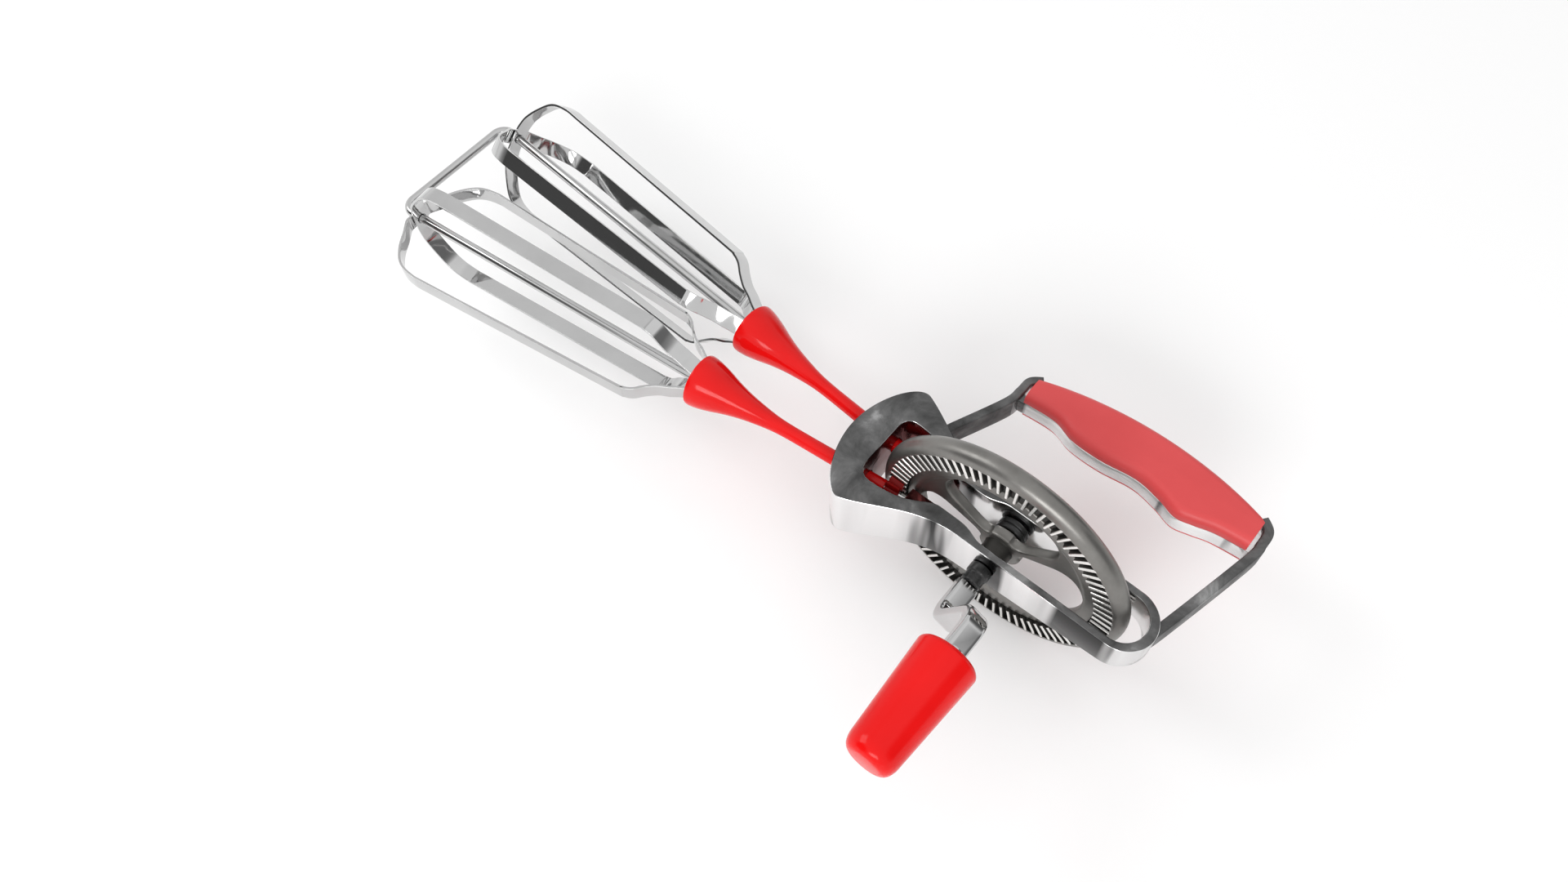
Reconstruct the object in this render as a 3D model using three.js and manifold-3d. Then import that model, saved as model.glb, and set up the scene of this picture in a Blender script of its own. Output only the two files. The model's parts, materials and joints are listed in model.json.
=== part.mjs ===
// Hand-cranked egg beater with a D handle, a crown drive wheel and two counter-turning beaters.
// Millimetres. +X runs towards the beater tips, +Y towards the crank knob, +Z is up, square to
// the frame casting. The shapes are drawn round the wheel's centre and moved as one at the end.
import * as THREE from 'three';
import Module from 'manifold-3d';
import { mergeVertices } from 'three/addons/utils/BufferGeometryUtils.js';

const wasm = await Module();
wasm.setup();

// ---- driving dimensions -------------------------------------------------------------------
const gap = 0.3;                 // between pieces that touch on the real thing

const frame = {
  noseX: 58.4, shoulderX: 45.0, shoulderHalf: 23.3, neckX: 10.0,
  barHalf: 10.4, tailX: -42.1,
  halfThickNose: 12.0, halfThickTail: 5.75,
  slotHalf: 7.9, slotTailX: -41.4, slotNeckHalf: 5.7,
  pocketHalf: 12.6, pocketFrontX: 46.4, pocketBackX: 29.5,
};

const lug = { x0: 22.5, x1: 32.0, inner: 2.9, outer: 12.0, halfHeight: 3.0 };

const beater = {
  tilt: Math.atan(0.0892),       // each axis splays out from the wheel by this much
  offset: 3.36,                  // where the axis crosses the wheel's centre line
  rodRadius: 1.7, rodStart: 25.0, rodEnd: 248.0, rodBend: 4.5,
  boreRadius: 2.0,
  leftPhase: 0, rightPhase: 45,  // degrees the blades are turned, so the two sets interleave
};

const wheel = {
  rimRadius: 44.0, faceRadius: 40.5, halfWidth: 3.55, floorHalf: 1.9,
  toothInner: 34.2, toothCount: 80, pitchRadius: 37.5,
  bandHalf: 2.4, webHalf: 1.8, windowOuter: 29.4, windowInner: 7.4,
  hubRadius: 4.8, hubNear: 7.1, hubFar: -2.9, spokeCount: 3, spokeAngle: 25, spokeHalfAngle: 7,
};

const collar = { inner: 2.6, radius: 5.2 };

const pinion = { count: 8, back: 34.6, front: 39.6, addendum: 0.75, rootDrop: 0.95 };

const sleeve = { start: 39.9, end: 113.0, mouthRadius: 7.8, mouthDepth: 6.0 };

const blade = { width: 5.8, thick: 0.9, hubLength: 241.5, nest: 1.35 };

const axle = { radius: 2.0, far: -12.3, headFace: -10.7, near: 17.3, headRadius: 3.4 };

const crank = {
  start: 17.6, elbow: 32.6, armX: -12.3, armZ: 24.3, bend: 4.6, shoulder: 47.2,
  width: 6.4, thick: 4.4, corner: 1.0,
  radius: 2.8, end: 78.0,        // the round spindle that the knob turns on
};

const knob = { start: 47.5, end: 85.3, innerRadius: 9.7, outerRadius: 7.9 };

const grip = {
  outerEnd: -52.4, outerMid: -60.0, frontX: 23.2, rearX: -58.6,
  coreHalf: 3.0, scaleThick: 4.4, round: 3.0, armHalf: 4.5,
  lowerSetBack: 1.2,             // how far the lower scale's finger edge stands back from the core's
};

// ---- helpers ------------------------------------------------------------------------------
function toSolid(geometry) {
  const bare = geometry.clone();
  bare.deleteAttribute('normal');
  bare.deleteAttribute('uv');
  const welded = mergeVertices(bare, 1e-4);
  return new wasm.Manifold(new wasm.Mesh({
    numProp: 3,
    vertProperties: new Float32Array(welded.attributes.position.array),
    triVerts: new Uint32Array(welded.index.array),
  }));
}

function toGeometry(solid) {
  const mesh = solid.getMesh();
  const geometry = new THREE.BufferGeometry();
  geometry.setAttribute('position', new THREE.BufferAttribute(mesh.vertProperties, 3));
  geometry.setIndex(new THREE.BufferAttribute(mesh.triVerts, 1));
  const flat = geometry.toNonIndexed();
  flat.computeVertexNormals();
  return flat;
}

const join = (...parts) => toGeometry(wasm.Manifold.union(parts.map(toSolid)));

const cut = (body, ...tools) => {
  const tool = wasm.Manifold.union(tools.map(toSolid));
  return toGeometry(toSolid(body).subtract(tool));
};

const shared = (one, other) => toGeometry(toSolid(one).intersect(toSolid(other)));

// Moves every vertex through a rule, for tapers that the stock shapes don't have.
function reshape(geometry, rule) {
  const position = geometry.attributes.position;
  const point = new THREE.Vector3();
  for (let i = 0; i < position.count; i += 1) {
    point.fromBufferAttribute(position, i);
    rule(point);
    position.setXYZ(i, point.x, point.y, point.z);
  }
  return geometry;
}

// A plan drawn in X and Y, thickened equally above and below.
function slab(shape, half, curveSegments = 12) {
  const geometry = new THREE.ExtrudeGeometry(shape, { depth: 2 * half, bevelEnabled: false, curveSegments });
  return geometry.translate(0, 0, -half);
}

function block(x0, x1, y0, y1, z0, z1) {
  const geometry = new THREE.BoxGeometry(x1 - x0, y1 - y0, z1 - z0);
  return geometry.translate((x0 + x1) / 2, (y0 + y1) / 2, (z0 + z1) / 2);
}

// A turned piece about +Y, from pairs of radius and height.
function turned(profile, segments) {
  return new THREE.LatheGeometry(profile.map(([r, y]) => new THREE.Vector2(r, y)), segments);
}

const cylinderY = (radius, y0, y1, segments = 32) =>
  new THREE.CylinderGeometry(radius, radius, y1 - y0, segments).translate(0, (y0 + y1) / 2, 0);

const alongX = (geometry) => geometry.rotateZ(-Math.PI / 2);

const degrees = (value) => THREE.MathUtils.degToRad(value);

// The outline of a strip of even thickness that follows a line of plan points.
function ribbon(points, thickness) {
  const left = [];
  const right = [];
  points.forEach((point, i) => {
    const before = points[Math.max(i - 1, 0)];
    const after = points[Math.min(i + 1, points.length - 1)];
    const along = new THREE.Vector2().subVectors(after, before).normalize();
    const side = new THREE.Vector2(-along.y, along.x).multiplyScalar(thickness / 2);
    left.push(point.clone().add(side));
    right.push(point.clone().sub(side));
  });
  return new THREE.Shape([...left, ...right.reverse()]);
}

const smooth = (pairs, divisions) =>
  new THREE.SplineCurve(pairs.map(([x, y]) => new THREE.Vector2(x, y))).getPoints(divisions);

// A line to extrude along that passes through every station, each a point and a heading.
class StationPath extends THREE.Curve {
  constructor(stations) {
    super();
    this.stations = stations;
  }

  get steps() {
    return this.stations.length - 1;
  }

  getPoint(t) {
    return this.stations[Math.round(t * this.steps)].point.clone();
  }

  getPointAt(t) {
    return this.getPoint(t);
  }

  getTangentAt(t) {
    return this.stations[Math.round(t * this.steps)].tangent.clone();
  }
}

const along = (path, shape) =>
  new THREE.ExtrudeGeometry(shape, { steps: path.steps, extrudePath: path, bevelEnabled: false });

// Straight runs with a round bend at each inner corner.
function bentPath(corners, bend, bendSteps) {
  const last = corners.length - 1;
  const heading = (i) => new THREE.Vector3().subVectors(corners[i + 1], corners[i]).normalize();
  const stations = [{ point: corners[0].clone(), tangent: heading(0) }];
  for (let i = 1; i < last; i += 1) {
    const into = heading(i - 1);
    const out = heading(i);
    const turn = into.angleTo(out);
    const reach = bend * Math.tan(turn / 2);
    const start = corners[i].clone().addScaledVector(into, -reach);
    const inward = out.clone().addScaledVector(into, -out.dot(into)).normalize();
    for (let k = 0; k <= bendSteps; k += 1) {
      const a = (turn * k) / bendSteps;
      stations.push({
        point: start.clone().addScaledVector(into, bend * Math.sin(a))
          .addScaledVector(inward, bend * (1 - Math.cos(a))),
        tangent: into.clone().multiplyScalar(Math.cos(a)).addScaledVector(inward, Math.sin(a)),
      });
    }
  }
  stations.push({ point: corners[last].clone(), tangent: heading(last - 1) });
  return new StationPath(stations);
}

// A flat line of plan points, headed midway between the runs before and after each point.
function planPath(points) {
  const flat = points.map((p) => new THREE.Vector3(p.x, p.y, 0));
  return new StationPath(flat.map((point, i) => {
    const before = flat[Math.max(i - 1, 0)];
    const after = flat[Math.min(i + 1, flat.length - 1)];
    const into = new THREE.Vector3().subVectors(point, before).normalize();
    const out = new THREE.Vector3().subVectors(after, point).normalize();
    return { point, tangent: into.add(out).normalize() };
  }));
}

function bentRod(corners, bend, radius, segments = 20, bendSteps = 8) {
  const path = bentPath(corners.map((c) => new THREE.Vector3(...c)), bend, bendSteps);
  const ring = [];
  for (let i = 0; i < segments; i += 1) {
    const a = (2 * Math.PI * i) / segments;
    ring.push(new THREE.Vector2(radius * Math.cos(a), radius * Math.sin(a)));
  }
  return along(path, new THREE.Shape(ring));
}

// ---- frame casting ------------------------------------------------------------------------
// Pear-shaped head running back into two bars and a round tail, all in one plane.
function frameOutline(margin = 0) {
  const f = frame;
  const half = f.barHalf + margin;
  const shoulder = f.shoulderHalf + margin;
  const nose = f.noseX + margin;
  const shape = new THREE.Shape();
  shape.moveTo(f.tailX, -half);
  shape.lineTo(f.neckX, -half);
  shape.bezierCurveTo(25, -half, 34, -19 - margin, f.shoulderX, -shoulder);
  shape.bezierCurveTo(50.5, -25.4 - margin, nose, -12, nose, 0);
  shape.bezierCurveTo(nose, 12, 50.5, 25.4 + margin, f.shoulderX, shoulder);
  shape.bezierCurveTo(34, 19 + margin, 25, half, f.neckX, half);
  shape.lineTo(f.tailX, half);
  shape.absarc(f.tailX, 0, half, Math.PI / 2, 1.5 * Math.PI, false);
  return shape;
}

// The slot the wheel turns in, opening into the pocket round the pinions.
function slotOutline() {
  const f = frame;
  const half = f.pocketHalf;
  const path = new THREE.Path();
  path.moveTo(f.slotTailX, -f.slotHalf);
  path.absarc(f.slotTailX, 0, f.slotHalf, 1.5 * Math.PI, Math.PI / 2, true);
  path.lineTo(3, f.slotHalf);
  path.bezierCurveTo(7, f.slotHalf, 7.5, f.slotNeckHalf, 13, f.slotNeckHalf);
  path.lineTo(20, f.slotNeckHalf);
  path.bezierCurveTo(24, f.slotNeckHalf, 27, 10.5, f.pocketBackX + 5, 11.8);
  path.quadraticCurveTo(38.5, half, 42, half);
  path.quadraticCurveTo(f.pocketFrontX - 0.6, half, f.pocketFrontX, 8.5);
  path.lineTo(f.pocketFrontX, -8.5);
  path.quadraticCurveTo(f.pocketFrontX - 0.6, -half, 42, -half);
  path.quadraticCurveTo(38.5, -half, f.pocketBackX + 5, -11.8);
  path.bezierCurveTo(27, -10.5, 24, -f.slotNeckHalf, 20, -f.slotNeckHalf);
  path.lineTo(13, -f.slotNeckHalf);
  path.bezierCurveTo(7.5, -f.slotNeckHalf, 7, -f.slotHalf, 3, -f.slotHalf);
  path.closePath();
  return path;
}

// The casting is thick at the nose and thin at the tail.
function frameHalfThickness(x) {
  const f = frame;
  const tailEnd = f.tailX - f.barHalf;
  const along = (x - tailEnd) / (f.noseX - tailEnd);
  return f.halfThickTail + (f.halfThickNose - f.halfThickTail) * along;
}

function onBeaterAxis(geometry, side) {
  return geometry.rotateZ(side * beater.tilt).translate(0, side * beater.offset, 0);
}

function frameCasting() {
  const outline = frameOutline();
  outline.holes.push(slotOutline());
  const plate = reshape(slab(outline, 1, 10), (p) => { p.z *= frameHalfThickness(p.x); });
  const lugs = [-1, 1].map((side) => block(
    lug.x0, lug.x1, Math.min(side * lug.inner, side * lug.outer),
    Math.max(side * lug.inner, side * lug.outer), -lug.halfHeight, lug.halfHeight,
  ));
  const tools = [cylinderY(axle.radius + gap, -30, 30)];
  [-1, 1].forEach((side) => {
    tools.push(onBeaterAxis(alongX(cylinderY(2.75, 44, 66)), side));
    tools.push(onBeaterAxis(alongX(cylinderY(beater.boreRadius, beater.rodStart - gap, 36, 24)), side));
  });
  return cut(join(plate, ...lugs), ...tools);
}

// ---- D handle -----------------------------------------------------------------------------
// The grip in plan: a bowed outer edge and an inner edge with finger hollows.
function gripOutline(front, rear, side = 1, setBack = 0) {
  const g = grip;
  const bow = new THREE.QuadraticBezierCurve(
    new THREE.Vector2(front, g.outerEnd),
    new THREE.Vector2((front + rear) / 2, 2 * g.outerMid - g.outerEnd),
    new THREE.Vector2(rear, g.outerEnd),
  );
  const fingers = [[rear, -42.8], [-49, -41.8], [-42, -40.0], [-36, -38.9], [-29, -41.1],
    [-20, -42.8], [-8, -41.6], [3, -42.1], [12, -44.8], [front, -44.1]];
  const hollows = smooth(fingers.map(([x, y]) => [x, y - setBack]), 30);
  const edge = [...bow.getPoints(20), ...hollows];
  return new THREE.Shape(edge.map((p) => new THREE.Vector2(p.x, side * p.y)));
}

// The two arms, each ending in a hook round a corner of the grip.
function handleArms(margin, half) {
  const front = [[38.5, -14], [35.8, -21], [27.3, -40.5], [26.1, -47], [25.6, -52], [22.2, -54.9]];
  const rear = [[-50, 0.5], [-52.6, -8], [-60.4, -40], [-61.1, -47], [-60.6, -52], [-57.2, -54.9]];
  return [
    slab(ribbon(smooth(front, 30), 2.9 + 2 * margin), half),
    slab(ribbon(smooth(rear, 30), 3.2 + 2 * margin), half),
  ];
}

function handleBow() {
  const core = slab(gripOutline(grip.frontX + 2.6, grip.rearX - 1.6), grip.coreHalf, 10);
  const tallFrame = slab(frameOutline(gap), 20, 10);
  return cut(join(...handleArms(0, grip.armHalf), core), tallFrame);
}

function gripScale(side) {
  const g = grip;
  const setBack = side > 0 ? 0 : g.lowerSetBack;
  const rounded = new THREE.ExtrudeGeometry(gripOutline(g.frontX + 4, g.rearX - 4, side, setBack), {
    depth: g.scaleThick - g.round, curveSegments: 10, bevelEnabled: true, bevelThickness: g.round,
    bevelSize: g.round, bevelOffset: -g.round, bevelSegments: 4,
  });
  // The long edges are rounded outwards. The ends, against the arms, and the face on the core are flat.
  const outward = cut(rounded, block(-90, 60, -90, 90, -20, 0));
  const ends = slab(gripOutline(g.frontX - gap, g.rearX + gap, side, setBack - 1), 20);
  const scale = shared(outward, ends).translate(0, 0, g.coreHalf + gap);
  return cut(side > 0 ? scale : scale.rotateX(Math.PI), ...handleArms(gap, 20));
}

// ---- drive wheel --------------------------------------------------------------------------
function wheelBlank() {
  const w = wheel;
  const rim = [];
  for (let i = 0; i <= 6; i += 1) {
    const a = Math.PI / 2 - (Math.PI * i) / 6;
    rim.push([w.faceRadius + (w.rimRadius - w.faceRadius) * Math.cos(a), w.halfWidth * Math.sin(a)]);
  }
  const profile = [
    [axle.radius + gap, w.hubFar], [w.hubRadius, w.hubFar], [w.hubRadius, -w.webHalf],
    [w.windowOuter, -w.webHalf], [w.windowOuter + 1.2, -w.bandHalf], [w.toothInner - 0.2, -w.bandHalf],
    [w.toothInner, -w.floorHalf], [w.faceRadius, -w.floorHalf],
    ...rim.reverse(),
    [w.faceRadius, w.floorHalf], [w.toothInner, w.floorHalf],
    [w.toothInner - 0.2, w.bandHalf], [w.windowOuter + 1.2, w.bandHalf], [w.windowOuter, w.webHalf],
    [w.hubRadius, w.webHalf], [w.hubRadius, w.hubNear], [axle.radius + gap, w.hubNear],
    [axle.radius + gap, w.hubFar],
  ];
  return turned(profile, w.toothCount);
}

// A petal-shaped window between two spokes, with rounded corners.
function wheelWindow() {
  const w = wheel;
  const a0 = degrees(w.spokeHalfAngle);
  const a1 = (2 * Math.PI) / w.spokeCount - a0;
  const at = (r, a) => [r * Math.cos(a), r * Math.sin(a)];
  const shape = new THREE.Shape();
  shape.moveTo(...at(12, a0));
  shape.lineTo(...at(20, a0));
  shape.quadraticCurveTo(...at(w.windowOuter, a0), ...at(w.windowOuter, a0 + 0.38));
  for (let k = 1; k <= 12; k += 1) {
    shape.lineTo(...at(w.windowOuter, a0 + 0.38 + ((a1 - a0 - 0.76) * k) / 12));
  }
  shape.quadraticCurveTo(...at(w.windowOuter, a1), ...at(20, a1));
  shape.lineTo(...at(12, a1));
  shape.quadraticCurveTo(...at(w.windowInner - 1.4, a1), ...at(w.windowInner, a1 - 0.5));
  for (let k = 1; k <= 4; k += 1) {
    shape.lineTo(...at(w.windowInner, a1 - 0.5 - ((a1 - a0 - 1.0) * k) / 4));
  }
  shape.quadraticCurveTo(...at(w.windowInner - 1.4, a0), ...at(12, a0));
  return shape;
}

// One crown tooth, standing on the wheel's near face and growing wider away from the centre.
function wheelTooth() {
  const w = wheel;
  const base = w.floorHalf - 0.4;
  const section = new THREE.Shape([
    new THREE.Vector2(-0.98, base), new THREE.Vector2(0.98, base),
    new THREE.Vector2(0.42, w.halfWidth), new THREE.Vector2(-0.42, w.halfWidth),
  ]);
  const length = w.faceRadius + 0.3 - w.toothInner;
  const tooth = new THREE.ExtrudeGeometry(section, { depth: length, bevelEnabled: false });
  tooth.rotateY(Math.PI / 2).translate(w.toothInner, 0, 0);
  return reshape(tooth, (p) => { p.z *= p.x / w.pitchRadius; });
}

function driveWheel() {
  const w = wheel;
  const parts = [wheelBlank()];
  for (let i = 0; i < w.toothCount; i += 1) {
    const turn = (2 * Math.PI * (i + 0.5)) / w.toothCount;
    parts.push(wheelTooth().rotateY(turn));
    parts.push(wheelTooth().rotateX(Math.PI).rotateY(turn));
  }
  const windows = [];
  for (let i = 0; i < w.spokeCount; i += 1) {
    const turn = degrees(w.spokeAngle) + (2 * Math.PI * i) / w.spokeCount;
    windows.push(slab(wheelWindow(), 6).rotateZ(turn).rotateX(Math.PI / 2));
  }
  return cut(join(...parts), ...windows);
}

function hubCollar() {
  const c = collar;
  return turned([
    [c.inner, -7.3], [c.radius - 0.4, -7.3], [c.radius, -6.8], [c.radius, -5.6], [c.radius - 0.6, -5.2],
    [c.radius, -4.8], [c.radius, -3.7], [c.radius - 0.4, -3.2], [c.inner, -3.2], [c.inner, -7.3],
  ], 28);
}

function axlePin() {
  return turned([
    [0, axle.far], [axle.headRadius - 0.6, axle.far], [axle.headRadius, axle.far + 0.6],
    [axle.headRadius, axle.headFace], [axle.radius, axle.headFace], [axle.radius, axle.near], [0, axle.near],
  ], 32);
}

function crankSocket() {
  const inner = axle.radius + gap;
  return turned([
    [inner, 10.7], [3.7, 10.7], [3.7, 13.4], [3.3, 13.9], [3.3, 16.8], [2.9, 17.3],
    [inner, 17.3], [inner, 10.7],
  ], 36);
}

// A flat bar bent into a Z, with a round spindle at its outer end.
function crankRod() {
  const c = crank;
  const reach = Math.hypot(c.armX, c.armZ);
  const corners = [[c.start, 0], [c.elbow, 0], [c.elbow, reach], [c.shoulder, reach]];
  const path = bentPath(corners.map(([y, z]) => new THREE.Vector3(0, y, z)), c.bend, 8);
  const [high, wide] = [c.thick / 2, c.width / 2];
  const section = new THREE.Shape();
  section.moveTo(-high + c.corner, -wide);
  section.lineTo(high - c.corner, -wide);
  section.quadraticCurveTo(high, -wide, high, -wide + c.corner);
  section.lineTo(high, wide - c.corner);
  section.quadraticCurveTo(high, wide, high - c.corner, wide);
  section.lineTo(-high + c.corner, wide);
  section.quadraticCurveTo(-high, wide, -high, wide - c.corner);
  section.lineTo(-high, -wide + c.corner);
  section.quadraticCurveTo(-high, -wide, -high + c.corner, -wide);
  const bar = new THREE.ExtrudeGeometry(section, {
    steps: path.steps, extrudePath: path, bevelEnabled: false, curveSegments: 4,
  }).rotateY(Math.atan2(c.armX, c.armZ));
  const spindle = turned([[0, c.shoulder - 2], [c.radius, c.shoulder - 2], [c.radius, c.end], [0, c.end]], 28);
  return join(bar, spindle.translate(c.armX, 0, c.armZ));
}

function crankKnob() {
  const k = knob;
  const bore = crank.radius + gap;
  const profile = [
    [bore, k.start], [k.innerRadius - 1.2, k.start], [k.innerRadius - 0.3, k.start + 0.5],
    [k.innerRadius, k.start + 1.4], [k.outerRadius + 0.2, k.end - 5.2], [k.outerRadius - 0.2, k.end - 3.0],
    [k.outerRadius - 1.2, k.end - 1.2], [k.outerRadius - 2.6, k.end - 0.2], [k.outerRadius - 3.2, k.end],
    [0, k.end], [0, crank.end + gap], [bore, crank.end + gap], [bore, k.start],
  ];
  return turned(profile, 40).translate(crank.armX, 0, crank.armZ);
}

// ---- beaters ------------------------------------------------------------------------------
function beaterRod() {
  const b = beater;
  const side = (s) => b.offset + s * Math.tan(b.tilt);
  return bentRod([
    [b.rodStart, side(b.rodStart), 0], [b.rodEnd, side(b.rodEnd), 0],
    [b.rodEnd, -side(b.rodEnd), 0], [b.rodStart, -side(b.rodStart), 0],
  ], b.rodBend, b.rodRadius, 20, 8);
}

// Profile pairs are radius, then distance along the beater's axis.
function sleeveBody() {
  const s = sleeve;
  const flare = new THREE.SplineCurve([
    [2.4, 68], [2.42, 76], [2.7, 82], [3.5, 88], [4.6, 94], [6.0, 99.5], [7.6, 104.5], [8.7, 108.6],
    [9.15, 111.2], [9.2, 112.6],
  ].map(([r, x]) => new THREE.Vector2(r, x))).getPoints(12);
  return turned([
    [beater.boreRadius, s.start], [2.45, s.start], [2.45, 60],
    ...flare.map((p) => [p.x, p.y]),
    [8.9, s.end], [s.mouthRadius, s.end], [s.mouthRadius, s.end - s.mouthDepth],
    [beater.boreRadius, s.end - s.mouthDepth], [beater.boreRadius, s.start],
  ], 28);
}

// A small bevel pinion: teeth in the plane across its axis, tapering towards the wheel's centre.
function pinionBody() {
  const p = pinion;
  const pitch = (wheel.pitchRadius * p.count) / wheel.toothCount;
  const root = pitch - p.rootDrop;
  const tip = pitch + p.addendum;
  const points = [];
  const at = (r, across, turn) => {
    const a = turn + Math.asin(across / r);
    points.push(new THREE.Vector2(r * Math.cos(a), r * Math.sin(a)));
  };
  for (let i = 0; i < p.count; i += 1) {
    const turn = (2 * Math.PI * i) / p.count;
    at(root, -0.78, turn);
    at(pitch, -0.6, turn);
    at(tip, -0.3, turn);
    at(tip, 0.3, turn);
    at(pitch, 0.6, turn);
    at(root, 0.78, turn);
  }
  const geometry = new THREE.ExtrudeGeometry(new THREE.Shape(points), {
    depth: p.front - p.back, bevelEnabled: false,
  });
  geometry.rotateY(Math.PI / 2).translate(p.back, 0, 0);
  reshape(geometry, (v) => {
    const taper = v.x / wheel.pitchRadius;
    v.y *= taper;
    v.z *= taper;
  });
  return cut(geometry, alongX(cylinderY(beater.boreRadius, p.back - 1, p.front + 1, 24)));
}

// One strip bent into a loop: up one side, across the tip and back down the other side.
function bladeLoop(nest, phase) {
  const tip = blade.hubLength - nest;
  const inset = nest * 0.75;
  const half = [
    [107.4, 6.2], [112.6, 6.3], [115.6, 7.4], [118.6, 9.2], [122.2, 10.9], [125.6, 13.6],
    [128.4, 16.4], [131.6, 17.8], [136.0, 18.25], [176.0, 20.25 - inset / 2], [214.0, 22.2 - inset],
    [223.0, 22.4 - inset], [229.8, 20.6 - inset], [235.0, 15.6 - inset], [238.6, 9.5],
    [tip - 0.25, 5.4], [tip, 3.6],
  ];
  const side = smooth(half, 48);
  const other = side.map((p) => new THREE.Vector2(p.x, -p.y)).reverse();
  const path = planPath([...side, new THREE.Vector2(tip, 0), ...other]);
  const [wide, thick] = [blade.width / 2, blade.thick / 2];
  const section = new THREE.Shape([
    new THREE.Vector2(-wide, -thick), new THREE.Vector2(wide, -thick),
    new THREE.Vector2(wide, thick), new THREE.Vector2(-wide, thick),
  ]);
  const strip = along(path, section);
  const hole = alongX(cylinderY(beater.boreRadius, tip - 4, tip + 4, 24));
  return cut(strip, hole).rotateX(degrees(phase));
}

// ---- assembly -----------------------------------------------------------------------------
const paint = {
  cast: { color: 0x6f7072, metalness: 0.8, roughness: 0.5 },
  grey: { color: 0x828079, metalness: 0.7, roughness: 0.4 },
  dark: { color: 0x232324, metalness: 0.6, roughness: 0.35 },
  chrome: { color: 0xc8cacb, metalness: 1.0, roughness: 0.12 },
  red: { color: 0xe8191c, metalness: 0.0, roughness: 0.2 },
  coral: { color: 0xe0484c, metalness: 0.0, roughness: 0.5 },
};

const group = new THREE.Group();

function add(name, geometry, look) {
  const mesh = new THREE.Mesh(geometry, new THREE.MeshStandardMaterial(look));
  mesh.name = name;
  group.add(mesh);
}

add('frame_casting', frameCasting(), paint.cast);
add('handle_bow', handleBow(), paint.cast);
add('grip_scale_upper', gripScale(1), paint.coral);
add('grip_scale_lower', gripScale(-1), paint.coral);
add('beater_rod', beaterRod(), paint.chrome);
add('drive_wheel', driveWheel(), paint.grey);
add('hub_collar', hubCollar(), paint.dark);
add('axle_pin', axlePin(), paint.dark);
add('crank_socket', crankSocket(), paint.dark);
add('crank_rod', crankRod(), paint.chrome);
add('crank_knob', crankKnob(), paint.red);

[['left', 1, beater.leftPhase], ['right', -1, beater.rightPhase]].forEach(([label, side, phase]) => {
  add(`sleeve_${label}`, onBeaterAxis(alongX(sleeveBody()), side), paint.red);
  add(`pinion_${label}`, onBeaterAxis(pinionBody(), side), paint.red);
  add(`blade_outer_${label}`, onBeaterAxis(bladeLoop(0, phase), side), paint.chrome);
  add(`blade_inner_${label}`, onBeaterAxis(bladeLoop(blade.nest, phase + 90), side), paint.chrome);
});

// The row's origin is under the middle of the whole thing, level with its lowest point.
const bounds = new THREE.Box3().setFromObject(group);
const middle = bounds.getCenter(new THREE.Vector3());
group.children.forEach((mesh) => mesh.geometry.translate(-middle.x, -middle.y, -bounds.min.z));

export default group;
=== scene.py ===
"""Hand-cranked egg beater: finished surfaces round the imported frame.

Shapes are drawn in millimetres about the drive wheel's centre, then moved into the row frame.
+X runs to the beater tips, +Y to the crank knob, +Z up.
"""
import json
import math

import bmesh
import bpy
from mathutils import Matrix, Vector, geometry


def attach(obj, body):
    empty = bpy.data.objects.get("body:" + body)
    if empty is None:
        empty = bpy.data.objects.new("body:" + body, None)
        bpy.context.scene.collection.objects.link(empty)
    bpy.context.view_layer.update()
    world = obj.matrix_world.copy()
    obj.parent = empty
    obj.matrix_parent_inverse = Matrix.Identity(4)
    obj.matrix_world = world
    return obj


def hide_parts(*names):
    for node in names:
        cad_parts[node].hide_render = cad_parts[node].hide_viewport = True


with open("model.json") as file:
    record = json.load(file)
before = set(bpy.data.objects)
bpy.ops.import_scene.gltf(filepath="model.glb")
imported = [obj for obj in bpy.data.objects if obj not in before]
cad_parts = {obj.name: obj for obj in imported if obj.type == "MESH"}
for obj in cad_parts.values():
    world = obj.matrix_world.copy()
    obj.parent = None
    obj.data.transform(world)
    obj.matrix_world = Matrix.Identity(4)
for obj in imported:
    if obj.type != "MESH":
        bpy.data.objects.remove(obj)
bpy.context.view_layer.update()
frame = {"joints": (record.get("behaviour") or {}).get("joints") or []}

MM = 0.001
JOINTS = {j["name"]: j for j in frame["joints"]}
HUB = Vector(JOINTS["drive_spin"]["pos_m"])
TO_ROW = Matrix.Translation(HUB) @ Matrix.Diagonal((MM, MM, MM, 1))

GAP = 0.3  # between pieces that touch on the real thing
BAR_HALF, TAIL_X, NOSE_X = 10.4, -42.1, 58.4  # the casting from above
HALF_TAIL, HALF_NOSE = 5.75, 12.0  # its half height at either end
AXLE_R, ROD_R, SPINDLE_R, NECK_R = 2.0, 1.7, 2.8, 2.45
TILT, OFFSET = math.atan(0.0892), 3.36  # a beater's axis: its splay, and its distance at the wheel's centre
TEETH, PINION_TEETH = 80, 8
PITCH_R, FACE_R, RIM_R, TOOTH_R = 37.5, 40.5, 44.0, 34.2
RIM_HALF, FLOOR_HALF, BAND_HALF, WEB_HALF = 3.55, 1.9, 2.4, 1.8
WINDOW_OUT, WINDOW_IN, SPOKE_HALF_ANGLE = 29.4, 7.4, 7
HUB_R, HUB_FROM, HUB_TO = 4.8, -2.9, 7.1
GRIP_ROUND, SCALE_OUT, SCALE_IN = 3.0, 7.7, 3.3  # a grip scale: its round, and its faces' heights
ARM_X, ARM_Z = -12.3, 24.3  # the spindle's place beside the axle, at rest


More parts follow.
